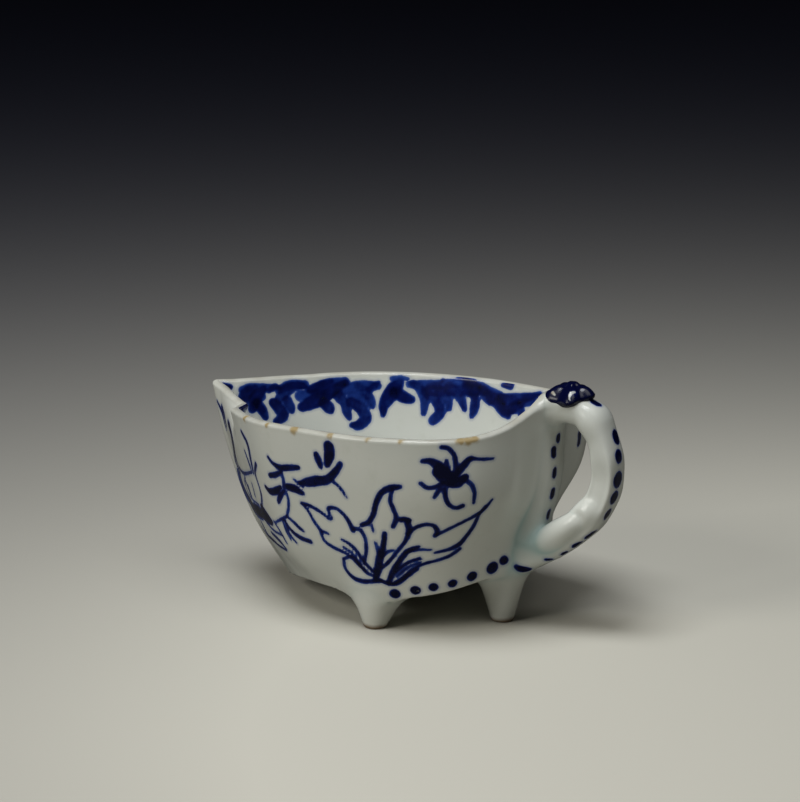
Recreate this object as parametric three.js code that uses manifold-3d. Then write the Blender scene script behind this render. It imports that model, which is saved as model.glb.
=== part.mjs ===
// Butter boat in glazed soft-paste porcelain: a leaf-shaped bowl with a pinched pouring lip,
// a stalk strip laid on its back, a twig handle with knots and a flower thumb rest, and three
// peg feet. Every piece was formed apart and stuck on with slip, so each has a seat on the next.
// Millimetres. X runs from the pouring lip to the handle, Z is up, and the feet stand on Z = 0.
// The origin lies on the table, half way between the lip tip and the outside of the handle.
import * as THREE from "three";
import { mergeVertices } from "three/addons/utils/BufferGeometryUtils.js";
import Module from "manifold-3d";

const wasm = await Module();
wasm.setup();

// Driving sizes of the whole boat.
const overallLength = 98.2;
const handleReach = 15.4;
const bowlLength = overallLength - handleReach;
const halfBeam = 29.8;
const rimHeight = 42.4;
const wall = 2.1;
const floorThickness = 2.6;
const rimCrown = 0.7;
const slipGap = 0.3;

// The lip: how far the near edge is pinched in, and how deep the fold runs below the rim.
const pinchDepth = 3.2;
const pinchRun = 0.26;

// The twig handle: width across, depth through, and the heights of its centre line.
const handleWidth = 7.6;
const handleDepth = 5.6;
const handleTopHeight = rimHeight + 4.8;
const handleRootHeight = handleTopHeight - 0.7;
const handleTailHeight = 14.8;

// The stalk strip on the back: half its width and depth, and how far its middle stands off the
// wall at the top and at the tail.
const stalkHalfWidth = 4.0;
const stalkHalfDepth = 2.6;
const stalkTopOffset = -1.6;
const stalkTailOffset = 1.8;
const stalkTopHeight = handleRootHeight - handleDepth / 2 + 0.6;
const stalkTailHeight = handleTailHeight + handleDepth;

// Knots, cut side twig and flower.
const shoulderKnotRadius = 3.5;
const heelKnotRadius = 2.8;
const twigEndRadius = 2.4;
const flowerRadius = 5.1;
const petalSwell = 0.8;
const flowerThickness = 2.1;
const flowerBossRadius = 1.7;
const petals = 5;

// The feet: sole radius, how far out and how far ahead of the back they stand, and their lean.
const soleRadius = 2.4;
const footSplay = -1.7;
const frontFeetInset = 31.8;
const rearFootInset = 11.3;
const footLean = 0.2;

// Mesh fineness.
const columnsPerStation = 4;
const sideRows = 9;
const floorRows = 2;

const lipX = -overallLength / 2;
const backX = lipX + bowlLength;

// Rim outline from the lip tip round the near side to the back: share of the bowl's length,
// share of the half beam, and rise above the rim height.
const nearRim = [
  [0, 0, 0],
  [0.041, 0.12, 0],
  [0.087, 0.26, 0],
  [0.13, 0.39, 0],
  [0.174, 0.5, 0],
  [0.225, 0.62, 0.2],
  [0.319, 0.8, 0.3],
  [0.452, 0.94, 0.4],
  [0.604, 1, 0.5],
  [0.737, 0.973, 0.5],
  [0.845, 0.86, 0.6],
  [0.92, 0.69, 1],
  [0.966, 0.49, 2.2],
  [0.993, 0.25, 4.6],
  [1, 0, 6.6],
];
// The far side is fuller behind the beam, as the leaf was not pressed quite true.
const farQuarter = [
  [0.865, 0.895, 0.6],
  [0.957, 0.775, 1],
  [0.993, 0.575, 2.2],
  [1.003, 0.29, 4.6],
];
const firstFarStation = 10;
// How far the near rim was pressed down, station by station from the lip tip.
const nearDip = [0, 0.6, 1.2, 1.6, 1.65, 1.7, 1.25, 0.55, 0.3];

// The three outlines below the rim. The sides lie edgeRise above the keel at the front and fade
// to none at the back, heelPower sets how late the outline climbs to the back, and fullness is
// the power that rounds (under 1) or points (over 1) an end.
const footLine = {
  frontX: lipX + 19.5,
  backX: backX - 8.2,
  halfBeam: halfBeam - 10.8,
  frontHeight: 2.7,
  backHeight: 12.5,
  edgeRise: 6.6,
  heelPower: 3.3,
  frontFullness: 0.8,
  backFullness: 1.2,
};
const hip = {
  frontX: lipX + 10.2,
  backX: backX - 5.5,
  halfBeam: halfBeam - 6,
  frontHeight: 14.5,
  backHeight: 21.6,
  edgeRise: 0,
  heelPower: 2.5,
  frontFullness: 0.93,
  backFullness: 1.2,
};
const belly = {
  frontX: lipX + 3.4,
  backX: backX - 1.6,
  halfBeam: halfBeam - 2.2,
  frontHeight: rimHeight - 12.4,
  backHeight: rimHeight - 10.9,
  edgeRise: 0,
  heelPower: 2.5,
  frontFullness: 1,
  backFullness: 0.86,
};

function rimStations() {
  const near = nearRim.map(([along, out, rise], i) => [along, -out, rise - (nearDip[i] ?? 0)]);
  const far = nearRim.map((station, i) => farQuarter[i - firstFarStation] ?? station);
  return near.concat(far.slice(1, -1).reverse());
}

function rimRing() {
  return rimStations().map(
    ([along, out, rise]) => new THREE.Vector3(lipX + along * bowlLength, out * halfBeam, rimHeight + rise),
  );
}

function lowerRing(ring) {
  return rimStations().map(([along, out]) => {
    const fullness = THREE.MathUtils.lerp(ring.frontFullness, ring.backFullness, along);
    const heelRise = (ring.backHeight - ring.frontHeight) * along ** ring.heelPower;
    return new THREE.Vector3(
      THREE.MathUtils.lerp(ring.frontX, ring.backX, along),
      Math.sign(out) * ring.halfBeam * Math.abs(out) ** fullness,
      ring.frontHeight + heelRise + ring.edgeRise * (1 - along) * Math.abs(out),
    );
  });
}

const rings = [lowerRing(footLine), lowerRing(hip), lowerRing(belly), rimRing()];
const ringCurves = rings.map((points) => new THREE.CatmullRomCurve3(points, true, "centripetal"));
const stationCount = rings[0].length;
const columns = stationCount * columnsPerStation;

// Level direction into the bowl, square to the rim outline.
function inward(column) {
  const rim = ringCurves[3];
  const step = 1 / columns;
  const ahead = rim.getPoint((column / columns + step) % 1);
  const behind = rim.getPoint((column / columns - step + 1) % 1);
  const along = ahead.sub(behind);
  return new THREE.Vector3(-along.y, along.x, 0).normalize();
}

// Share of the pinch at a column: it grows from the tip to the fourth station, then folds back.
const pinchStation = 3;
const foldLength = 0.9;
const pinchDirection = new THREE.Vector3(0.55, 0.83, -0.12);
function pinchShare(column) {
  const station = column / columnsPerStation;
  if (station <= pinchStation) return (station / pinchStation) ** 1.3;
  return Math.max(0, 1 - (station - pinchStation) / foldLength);
}

// A point of the bowl's side: up runs from 0 at the foot line to 1 at the rim, and depth is
// measured into the wall. The floor thickens the wall where the side meets it.
function sidePoint(column, up, depth, rise) {
  const u = (column % columns) / columns;
  const upright = new THREE.CatmullRomCurve3(
    ringCurves.map((curve) => curve.getPoint(u)),
    false,
    "centripetal",
  );
  const point = upright.getPoint(up);
  const fold = pinchDepth * pinchShare(column % columns) * Math.max(0, (up - 1 + pinchRun) / pinchRun) ** 2;
  point.addScaledVector(pinchDirection, fold);
  point.addScaledVector(inward(column % columns), depth);
  point.z += rise * (1 - up);
  return point;
}

// Floor points run from the foot line to the middle of the floor.
const floorCentreX = footLine.backX - 27.6;
const keelRise = 0.8;
function floorPoint(column, inwardShare, depth, rise) {
  const edge = sidePoint(column, 0, depth, rise);
  const centre = new THREE.Vector3(floorCentreX, 0, footLine.frontHeight + keelRise + rise);
  return edge.lerp(centre, inwardShare);
}

function shareList(count) {
  return Array.from({ length: count + 1 }, (_, i) => i / count);
}

// A closed skin made by moving the vertices of a lathe: one function gives each row's points.
function latheSkin(rowPoints) {
  const last = rowPoints.length - 1;
  const profile = rowPoints.map((_, row) => new THREE.Vector2(row === 0 || row === last ? 0 : 1, row));
  const skin = new THREE.LatheGeometry(profile, columns);
  const place = skin.getAttribute("position");
  for (let i = 0; i < place.count; i += 1) {
    const row = i % rowPoints.length;
    const column = Math.floor(i / rowPoints.length);
    const point = rowPoints[row](column % columns);
    place.setXYZ(i, point.x, point.y, point.z);
  }
  return skin;
}

// Rows of the bowl's outside, from the middle of the underside up to the rim.
function outsideRows(depth, rise) {
  const floor = shareList(floorRows + 1).reverse();
  const side = shareList(sideRows).slice(1);
  return [
    ...floor.map((share) => (column) => floorPoint(column, share, depth, rise)),
    ...side.map((up) => (column) => sidePoint(column, up, depth, rise)),
  ];
}

function bowlSkin() {
  const crown = (column) => {
    const point = sidePoint(column, 1, wall / 2, 0);
    point.z += rimCrown;
    return point;
  };
  return latheSkin([...outsideRows(0, 0), crown, ...outsideRows(wall, floorThickness).reverse()]);
}

// The bowl filled solid and grown by a clearance, which cuts the seats of what is stuck on it.
function seatCutterSkin(clearance) {
  const lid = (column) => {
    const point = sidePoint(column, 1, wall / 2, 0);
    point.z += rimCrown + clearance;
    return point;
  };
  const lidCentre = () => new THREE.Vector3(floorCentreX, 0, rimHeight + rimCrown + clearance);
  return latheSkin([...outsideRows(-clearance, -clearance), lid, lidCentre]);
}

// Joining and cutting.
function toSolid(geometry) {
  const bare = geometry.clone();
  bare.deleteAttribute("normal");
  bare.deleteAttribute("uv");
  const merged = mergeVertices(bare, 1e-4);
  const index = Array.from(merged.index.array);
  const faces = [];
  for (let i = 0; i < index.length; i += 3) {
    const [a, b, c] = index.slice(i, i + 3);
    if (a !== b && b !== c && c !== a) faces.push(a, b, c);
  }
  return new wasm.Manifold(
    new wasm.Mesh({
      numProp: 3,
      vertProperties: Float32Array.from(merged.getAttribute("position").array),
      triVerts: Uint32Array.from(faces),
    }),
  );
}

function toGeometry(solid) {
  const mesh = solid.getMesh();
  const geometry = new THREE.BufferGeometry();
  geometry.setAttribute("position", new THREE.BufferAttribute(mesh.vertProperties, 3));
  geometry.setIndex(new THREE.BufferAttribute(mesh.triVerts, 1));
  geometry.computeVertexNormals();
  return geometry;
}

const bowl = toSolid(bowlSkin());
const bowlSeat = toSolid(seatCutterSkin(slipGap));

// A strip swept along a line in the middle plane, with a rounded section.
function ovalSection(halfWidth, halfDepth, sides, squareness) {
  const points = Array.from({ length: sides }, (_, i) => {
    const angle = ((i + 0.5) / sides) * 2 * Math.PI;
    const round = (value) => Math.sign(value) * Math.abs(value) ** squareness;
    return new THREE.Vector2(halfWidth * round(Math.cos(angle)), halfDepth * round(Math.sin(angle)));
  });
  return new THREE.Shape(points);
}

function sweep(section, points, steps) {
  const line = points.map(([x, z]) => new THREE.Vector3(x, 0, z));
  const path = new THREE.CatmullRomCurve3(line, false, "centripetal");
  return new THREE.ExtrudeGeometry(section, { steps, extrudePath: path, bevelEnabled: false });
}

// The handle's centre line, from inside the back wall, out over the top and down to the tail.
const handleOutX = overallLength / 2 - handleDepth / 2;
const handlePath = [
  [backX - 2.4, handleRootHeight],
  [backX + 1.2, handleTopHeight - 0.1],
  [backX + 4.6, handleTopHeight],
  [handleOutX - 5.2, handleTopHeight - 0.5],
  [handleOutX - 3.3, handleTopHeight - 2.1],
  [handleOutX - 1.6, handleTopHeight - 4.8],
  [handleOutX - 0.4, handleTopHeight - 8.5],
  [handleOutX, handleTopHeight - 12.2],
  [handleOutX - 0.4, handleTopHeight - 15.7],
  [handleOutX - 1.6, handleTailHeight + 13.5],
  [handleOutX - 3.6, handleTailHeight + 10.4],
  [handleOutX - 6.1, handleTailHeight + 7.6],
  [handleOutX - 9.2, handleTailHeight + 5],
  [backX + 0.1, handleTailHeight + 2.9],
  [backX - 3.5, handleTailHeight + 1.2],
  [backX - 7.2, handleTailHeight + 0.2],
  [backX - 10.8, handleTailHeight + 0.6],
];
const twigSquareness = 0.55;
function handleSkin(clearance) {
  const section = ovalSection(
    handleWidth / 2 + clearance,
    handleDepth / 2 + clearance,
    14,
    twigSquareness,
  );
  return sweep(section, handlePath, 32);
}
const handle = toSolid(handleSkin(0)).subtract(bowlSeat);
const handleSeat = toSolid(handleSkin(slipGap));

// The stalk strip follows the back of the bowl down its middle.
function backWallX(height) {
  const middleColumn = (nearRim.length - 1) * columnsPerStation;
  let best = sidePoint(middleColumn, 0, 0, 0);
  for (const up of shareList(60)) {
    const point = sidePoint(middleColumn, up, 0, 0);
    if (Math.abs(point.z - height) < Math.abs(best.z - height)) best = point;
  }
  return best.x;
}
function stalkSkin(clearance) {
  const line = shareList(4).map((share) => {
    const height = THREE.MathUtils.lerp(stalkTopHeight, stalkTailHeight, share);
    return [backWallX(height) + THREE.MathUtils.lerp(stalkTopOffset, stalkTailOffset, share), height];
  });
  const section = ovalSection(stalkHalfWidth + clearance, stalkHalfDepth + clearance, 12, 0.85);
  return sweep(section, line, 10);
}
const stalk = toSolid(stalkSkin(0)).subtract(bowlSeat).subtract(handleSeat);
const stalkSeat = toSolid(stalkSkin(slipGap));

// The flower thumb rest: a five-petalled plate with a boss, on top of the handle's root.
const flowerX = backX + 4.1;
const petalEdge = 0.6;
function flowerPlate(clearance) {
  const outline = Array.from({ length: petals * 6 }, (_, i) => {
    const angle = (i / (petals * 6)) * 2 * Math.PI;
    const radius = flowerRadius + clearance - petalSwell + petalSwell * Math.cos(petals * angle);
    return new THREE.Vector2(radius * Math.cos(angle), radius * Math.sin(angle));
  });
  const plate = new THREE.ExtrudeGeometry(new THREE.Shape(outline), {
    depth: flowerThickness + handleDepth / 4 - 2 * petalEdge,
    bevelThickness: petalEdge,
    bevelSize: petalEdge,
    bevelOffset: -petalEdge,
    bevelSegments: 2,
  });
  plate.translate(flowerX, 0, handleTopHeight + handleDepth / 4 + petalEdge);
  return toSolid(plate);
}
const boss = new THREE.SphereGeometry(flowerBossRadius, 16, 10);
boss.scale(1, 1, 0.6);
boss.translate(flowerX, 0, handleTopHeight + handleDepth / 2 + flowerThickness - 0.2);
const flower = flowerPlate(0).add(toSolid(boss)).subtract(handleSeat).subtract(bowlSeat);

// Knots are pads of clay pressed on the handle, and the cut side twig is a longer one that
// lies along the tail.
function clayBall(radius, stretch, slope, centre) {
  const ball = new THREE.SphereGeometry(radius, 18, 12);
  ball.scale(...stretch);
  ball.rotateY(-slope);
  ball.translate(...centre);
  return toSolid(ball);
}
function pad(radius, stretch, slope, centre) {
  return clayBall(radius, stretch, slope, centre).subtract(handleSeat);
}
const shoulderKnotCentre = [handleOutX - 3.1, 0, handleTopHeight - 1.4];
const heelKnotCentre = [handleOutX - 3.4, -2.5, handleTailHeight + 11.4];
const twigEndCentre = [backX + 3.4, -4.3, handleTailHeight + 6.7];
const twigSlope = (38 * Math.PI) / 180;
const heelStretch = [1.15, 1, 1];
const shoulderKnot = pad(shoulderKnotRadius, [1, 1.05, 1], 0, shoulderKnotCentre).subtract(
  flowerPlate(slipGap),
);
const heelKnot = pad(heelKnotRadius, heelStretch, 0, heelKnotCentre);
const twigEnd = pad(twigEndRadius, [2.2, 0.9, 0.9], twigSlope, twigEndCentre)
  .subtract(bowlSeat)
  .subtract(stalkSeat)
  .subtract(clayBall(heelKnotRadius + slipGap, heelStretch, 0, heelKnotCentre));

// A peg foot: a lathed peg with a flat sole, leaning in, cut to the bowl above it and, at the
// rear, to the tail of the handle.
function footSolid(x, y, height) {
  const profile = [
    [0, 0],
    [soleRadius, 0],
    [soleRadius + 0.3, 0.8],
    [soleRadius + 0.9, height * 0.2],
    [soleRadius + 1.5, height * 0.33],
    [soleRadius + 2.1, height * 0.55],
    [soleRadius + 2.4, height * 0.75],
    [soleRadius + 1.9, height * 0.9],
    [0, height],
  ];
  const peg = new THREE.LatheGeometry(profile.map(([radius, rise]) => new THREE.Vector2(radius, rise)), 20);
  peg.rotateX(Math.PI / 2);
  const lean = new THREE.Matrix4().makeShear(0, 0, 0, 0, 0, -Math.sign(y) * footLean);
  peg.applyMatrix4(lean);
  peg.translate(x, y, 0);
  return toSolid(peg).subtract(bowlSeat).subtract(handleSeat);
}
const frontFeetX = backX - frontFeetInset;
const footHalfStance = footLine.halfBeam + footSplay;
const rearFootX = backX - rearFootInset;
const frontFootHeight = footLine.frontHeight + 9.2;
const rearFootHeight = footLine.backHeight + 3.2;

const glaze = { color: 0xd9ded4, roughness: 0.16, metalness: 0 };
const cobalt = { color: 0x22357a, roughness: 0.18, metalness: 0 };

const boat = new THREE.Group();
function addPiece(name, solid, finish) {
  const piece = new THREE.Mesh(toGeometry(solid), new THREE.MeshStandardMaterial(finish));
  piece.name = name;
  boat.add(piece);
}

addPiece("bowl", bowl, glaze);
addPiece("handle", handle, glaze);
addPiece("back_stalk", stalk, glaze);
addPiece("shoulder_knot", shoulderKnot, glaze);
addPiece("heel_knot", heelKnot, glaze);
addPiece("cut_twig_end", twigEnd, glaze);
addPiece("flower_thumb_rest", flower, cobalt);
addPiece("foot_near", footSolid(frontFeetX, -footHalfStance, frontFootHeight), glaze);
addPiece("foot_far", footSolid(frontFeetX, footHalfStance, frontFootHeight), glaze);
addPiece("foot_rear", footSolid(rearFootX, 0, rearFootHeight), glaze);

export default boat;
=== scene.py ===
# %% [markdown]
# # A butter boat in blue-painted porcelain
#
# The real thing is a small sauce or butter boat: a leaf of porcelain clay pressed into a
# bowl, with a pinched lip, a twig for a handle, a flower to put the thumb on and three peg
# feet. It was painted in cobalt on the raw surface and then covered with a soft, greenish
# white glaze. This lesson builds it piece by piece around a model that is already measured.
#
# We work in millimetres, because the pieces are small, and turn to metres at the very end.

# %% The measured frame
import math

import bmesh
import bpy
import numpy as np
from mathutils import Matrix, Vector
from mathutils.bvhtree import BVHTree


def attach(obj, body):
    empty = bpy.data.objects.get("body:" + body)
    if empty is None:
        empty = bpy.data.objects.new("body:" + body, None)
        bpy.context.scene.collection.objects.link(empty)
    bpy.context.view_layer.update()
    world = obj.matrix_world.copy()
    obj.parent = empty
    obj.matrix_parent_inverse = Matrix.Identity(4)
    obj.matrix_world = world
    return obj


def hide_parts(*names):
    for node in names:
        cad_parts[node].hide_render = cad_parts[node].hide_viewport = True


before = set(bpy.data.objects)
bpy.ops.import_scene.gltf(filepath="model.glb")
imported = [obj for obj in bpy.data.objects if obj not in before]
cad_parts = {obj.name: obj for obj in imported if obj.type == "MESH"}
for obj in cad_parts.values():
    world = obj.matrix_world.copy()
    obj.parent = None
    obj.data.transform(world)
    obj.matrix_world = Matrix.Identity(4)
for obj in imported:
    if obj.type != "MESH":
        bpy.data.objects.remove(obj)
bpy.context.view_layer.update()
print("pieces in the frame:", ", ".join(sorted(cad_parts)))

# %% [markdown]
# ## The camera
# The photograph was taken from the front right, a little above the rim, with a long lens.
# The photographer left more air above the boat than below it. We copy that by turning the
# camera, because a shifted lens would be carried into every other view.

# %% The camera
MM = 0.001
picture_width, picture_height = 800, 802
camera_turn = math.radians(30)
camera_climb = math.radians(15)
camera_distance = 650
aim_point = Vector((0.9, 0, 25))
focal_pixels = 3098.2
aim_right, aim_below = 13.5, 89.2


def camera_axes():
    back = Vector((
        math.sin(camera_turn) * math.cos(camera_climb),
        -math.cos(camera_turn) * math.cos(camera_climb),
        math.sin(camera_climb),
    ))
    turned = Matrix.Rotation(math.atan(aim_right / focal_pixels), 3, "Z") @ -back
    right = turned.cross(Vector((0, 0, 1))).normalized()
    forward = Matrix.Rotation(math.atan(aim_below / focal_pixels), 3, right) @ turned
    return back, right, forward


def added(name, data):
    """Makes an object of the data and links it into the scene."""
    made = bpy.data.objects.new(name, data)
    bpy.context.collection.objects.link(made)
    return made


back, right, forward = camera_axes()
camera_data = bpy.data.cameras.new("camera")
camera_data.lens = focal_pixels * camera_data.sensor_width / max(picture_width, picture_height)
camera = added("camera", camera_data)
turning = Matrix((right, right.cross(forward), -forward)).transposed()
standpoint = (aim_point + back * camera_distance) * MM
camera.matrix_world = Matrix.Translation(standpoint) @ turning.to_4x4()
bpy.context.scene.camera = camera
print("lens", round(camera_data.lens, 1), "mm")

# %% [markdown]
# ## Floor and light
# A big sheet of pale paper lies under the boat. Its colour is painted with a pool of light
# that falls off through grey to nearly black, which lets the white rim stand out. One wide
# soft lamp hangs over the boat, a little to the front, so that the shadow stays close under
# the belly. A weaker one lights the near side from the front left, the weakest reaches the
# handle from the right, and a dim sky does the rest. Only the eye sees the paper at its full
# brightness. It throws less light back on the boat, which keeps the space between the feet
# dark, and the glaze mirrors it more dimly still, which keeps the cobalt deep.

# %% Floor and light
floor_size = 6.0
floor_bright = (0.56, 0.545, 0.48, 1)
# The paper is painted with a pool of light: pale round a centre, fading to nearly black further
# out.
painted_falloff_colour = (0.020, 0.022, 0.042, 1)
floor_bounce, floor_mirrored = 0.75, 0.15
painted_light_centre = (0.15, 0, 0)
painted_light_radius, painted_light_fade = 0.16, 0.21
lamp_size, lamp_aim = 0.30, (0, 0, 0.03)
sky_strength = 0.006


def node(tree, kind, links=None, **values):
    """Adds a shader node. values set its properties, links fills its input sockets."""
    made = tree.nodes.new(kind)
    for name, value in values.items():
        setattr(made, name, value)
    for name, value in (links or {}).items():
        socket = made.inputs[name]
        if isinstance(value, bpy.types.NodeSocket):
            tree.links.new(value, socket)
        else:
            socket.default_value = value
    return made


def arithmetic(tree, operation, first, second=0.0, clamp=False):
    sockets = {0: first, 1: second}
    return node(tree, "ShaderNodeMath", sockets, operation=operation, use_clamp=clamp).outputs[0]


def mix_colour(tree, share, first, second):
    return node(tree, "ShaderNodeMix", {0: share, 6: first, 7: second}, data_type="RGBA").outputs[2]


def new_material(name):
    material = bpy.data.materials.new(name)
    material.use_nodes = True
    tree = material.node_tree
    return material, tree, tree.nodes["Principled BSDF"]


paper, tree, surface = new_material("paper_floor")
place = node(tree, "ShaderNodeTexCoord").outputs["Object"]
ends = {0: place, 1: painted_light_centre}
away = node(tree, "ShaderNodeVectorMath", ends, operation="DISTANCE").outputs["Value"]
# Painted pool of light: the paper's colour darkens with distance from the centre.
beyond = arithmetic(tree, "MAXIMUM", arithmetic(tree, "SUBTRACT", away, painted_light_radius), 0)
painted_light_falloff = arithmetic(tree, "EXPONENT", arithmetic(tree, "DIVIDE", beyond, -painted_light_fade))
ray = node(tree, "ShaderNodeLightPath")
dimmed = node(tree, "ShaderNodeMapRange", {
    "Value": ray.outputs["Is Glossy Ray"], "To Min": floor_bounce, "To Max": floor_mirrored,
}).outputs["Result"]
thrown = arithmetic(tree, "MAXIMUM", ray.outputs["Is Camera Ray"], dimmed)
pale = mix_colour(tree, painted_light_falloff, painted_falloff_colour, floor_bright)
tree.links.new(mix_colour(tree, thrown, (0, 0, 0, 1), pale), surface.inputs["Base Color"])
surface.inputs["Roughness"].default_value = 0.9
surface.inputs["Specular IOR Level"].default_value = 0.1


def mesh_from(build, name):
    """Turns a finished bmesh into a mesh and lets go of it."""
    mesh = bpy.data.meshes.new(name)
    build.to_mesh(mesh)
    build.free()
    return mesh


sheet = bmesh.new()
bmesh.ops.create_grid(sheet, x_segments=1, y_segments=1, size=floor_size / 2)
floor = added("paper_floor", mesh_from(sheet, "paper_floor"))
floor.data.materials.append(paper)


def soft_lamp(name, place, power, colour):
    data = bpy.data.lights.new(name, "AREA")
    data.shape = "RECTANGLE"
    data.size = data.size_y = lamp_size
    data.energy = power
    data.color = colour
    facing = (Vector(lamp_aim) - Vector(place)).to_track_quat("-Z", "Y")
    added(name, data).matrix_world = Matrix.Translation(place) @ facing.to_matrix().to_4x4()


soft_lamp("key", (-0.025, -0.18, 0.68), 3.3, (0.98, 1.0, 1.02))
soft_lamp("front_fill", (-0.25, -0.55, 0.36), 1.9, (1.0, 0.975, 0.91))
soft_lamp("right_fill", (0.30, -0.12, 0.62), 0.6, (1.0, 0.99, 0.96))
sky = bpy.data.worlds.new("dim_sky")
bpy.context.scene.world = sky
sky.use_nodes = True
background = sky.node_tree.nodes["Background"].inputs
background["Color"].default_value = (0.92, 0.96, 1.0, 1)
background["Strength"].default_value = sky_strength
bpy.context.scene.view_settings.view_transform = "Standard"
print("one floor, three lamps and a sky")

# %% [markdown]
# ## Smooth lines
# Clay has no straight edges, so every outline is a smooth line through a few points. The
# line used here is the Catmull-Rom spline with centripetal spacing: it passes through its
# points and does not overshoot where they are close together.

# %% Smooth lines
def smooth_line(points, share, closed=False):
    """The point at a share of the way along the points. Works on whole arrays at once."""
    points = np.asarray(points, float)
    count = len(points)
    share = np.asarray(share, float)
    if closed:
        step = (share * count) % count
        first = np.floor(step).astype(int)
        near = [points[(first + k - 1) % count] for k in range(4)]
    else:
        before_first, after_last = 2 * points[0] - points[1], 2 * points[-1] - points[-2]
        points = np.concatenate([[before_first], points, [after_last]])
        step = np.clip(share, 0, 1) * (count - 1)
        first = np.minimum(np.floor(step).astype(int), count - 2)
        near = [points[first + k] for k in range(4)]
    weight = step - first
    if np.ndim(weight):
        weight = weight[:, None]
    before, along, after = [
        np.maximum(np.sum((b - a) ** 2, axis=-1, keepdims=True) ** 0.25, 1e-4)
        for a, b in zip(near, near[1:])
    ]
    p0, p1, p2, p3 = near
    leave = ((p1 - p0) / before - (p2 - p0) / (before + along) + (p2 - p1) / along) * along
    arrive = ((p2 - p1) / along - (p3 - p1) / (along + after) + (p3 - p2) / after) * along
    return (
        p1
        + weight * leave
        + weight**2 * (-3 * p1 + 3 * p2 - 2 * leave - arrive)
        + weight**3 * (2 * p1 - 2 * p2 + leave + arrive)
    )


def between(start, end, share):
    return start + (end - start) * share


def smooth_step(low, high, value):
    share = np.clip((value - low) / (high - low), 0, 1)
    return share * share * (3 - 2 * share)


print("halfway up a smooth step:", smooth_step(0, 1, 0.5))

# %% [markdown]
# ## A grid wrapped into a shape
# Each piece starts as Blender's flat grid. We move its vertices row by row onto the shape,
# like wrapping paper round it, and then merge the seam and the two gathered ends, so that
# the piece is closed. Its faces are turned outwards afterwards.

# %% A grid wrapped into a shape
def vertex_table(mesh, kind="co"):
    """One row of three numbers for each vertex: its place, or its normal."""
    flat = np.empty(len(mesh.vertices) * 3)
    mesh.vertices.foreach_get(kind, flat)
    return flat.reshape(-1, 3)


def wrapped_piece(name, rows):
    """rows is an array of rows x columns x 3. The first and last rows close to a point."""
    row_count, column_count = rows.shape[0] - 1, rows.shape[1]
    grid = bmesh.new()
    bmesh.ops.create_grid(grid, x_segments=column_count, y_segments=row_count, size=0.5)
    mesh = mesh_from(grid, name)
    flat = vertex_table(mesh)
    column = np.rint((flat[:, 0] + 0.5) * column_count).astype(int) % column_count
    row = np.rint((flat[:, 1] + 0.5) * row_count).astype(int)
    mesh.vertices.foreach_set("co", rows[row, column].ravel())
    closed = bmesh.new()
    closed.from_mesh(mesh)
    bmesh.ops.remove_doubles(closed, verts=closed.verts, dist=1e-4)
    bmesh.ops.recalc_face_normals(closed, faces=closed.faces)
    closed.to_mesh(mesh)
    closed.free()
    print(name, len(mesh.vertices), "vertices")
    return mesh


meshes = {}

# %% [markdown]
# ## The bowl
# The real bowl is a bat of clay pressed over a leaf-shaped form. We follow the same idea:
# one outline for the rim, three more below it (belly, hip and foot line), and a smooth
# upright through the four of them at every step round the girth. The inner skin is the same
# surface moved in by the thickness of the wall.

# %% Sizes of the bowl
overall_length = 98.2
bowl_length = 82.8
half_beam = 29.775
rim_height = 42.4
wall = 2.1
floor_thickness = 2.6
rim_crown = 0.7
lip_x = -overall_length / 2
back_x = lip_x + bowl_length
handle_reach = overall_length / 2

# Rim outline from the lip round one side: share of the length, share of the half beam, rise.
near_rim = [
    (0, 0, 0), (0.041, 0.12, 0), (0.087, 0.26, 0), (0.13, 0.39, 0), (0.174, 0.5, 0),
    (0.225, 0.62, 0.2), (0.319, 0.8, 0.3), (0.452, 0.94, 0.4), (0.604, 1, 0.5),
    (0.737, 0.973, 0.5), (0.845, 0.86, 0.6), (0.92, 0.69, 1), (0.966, 0.49, 2.2),
    (0.993, 0.25, 4.6), (1, 0, 6.6),
]
far_quarter = [(0.865, 0.895, 0.6), (0.957, 0.775, 1), (0.993, 0.575, 2.2), (1.003, 0.29, 4.6)]
first_far_station = 10
# How far the near rim was pressed down, from the lip back.
near_dip = np.zeros(len(near_rim))
near_dip[:9] = 0, 0.6, 1.2, 1.6, 1.65, 1.7, 1.25, 0.55, 0.3

# Below the rim: front and back ends, half beam, heights, rise of the front sides, how late the
# line climbs to the back, and how rounded (under 1) or pointed (over 1) its ends are.
lower_outlines = [
    dict(front=lip_x + 19.5, back=back_x - 8.2, beam=19, low=2.7, high=12.5,
         side_rise=6.6, late=3.3, blunt_front=0.8, blunt_back=1.2),
    dict(front=lip_x + 10.2, back=back_x - 5.5, beam=23.8, low=14.5, high=21.6,
         side_rise=0, late=2.5, blunt_front=0.93, blunt_back=1.2),
    dict(front=lip_x + 3.4, back=back_x - 1.6, beam=27.6, low=30, high=31.5,
         side_rise=0, late=2.5, blunt_front=1, blunt_back=0.86),
]


def rim_stations():
    far = list(near_rim)
    far[first_far_station:-1] = far_quarter
    near = [(along, -out, rise - dip) for (along, out, rise), dip in zip(near_rim, near_dip)]
    return np.array(near + far[1:-1][::-1], float)


def lower_ring(shape):
    along, out, _ = rim_stations().T
    blunt = between(shape["blunt_front"], shape["blunt_back"], along)
    climb = (shape["high"] - shape["low"]) * along ** shape["late"]
    return np.column_stack([
        between(shape["front"], shape["back"], along),
        np.sign(out) * shape["beam"] * np.abs(out) ** blunt,
        shape["low"] + climb + shape["side_rise"] * (1 - along) * np.abs(out),
    ])


stations = rim_stations()
rim_ring = np.column_stack([
    lip_x + stations[:, 0] * bowl_length,
    stations[:, 1] * half_beam,
    rim_height + stations[:, 2],
])
rings = [lower_ring(shape) for shape in lower_outlines] + [rim_ring]
print(len(rings), "outlines of", len(rim_ring), "points")

# %% [markdown]
# The lip is pinched: the near edge was pressed inwards with a finger, so it folds behind the
# rim of the bowl and leaves a small pleat. Only the top quarter of the wall is moved.

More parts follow.
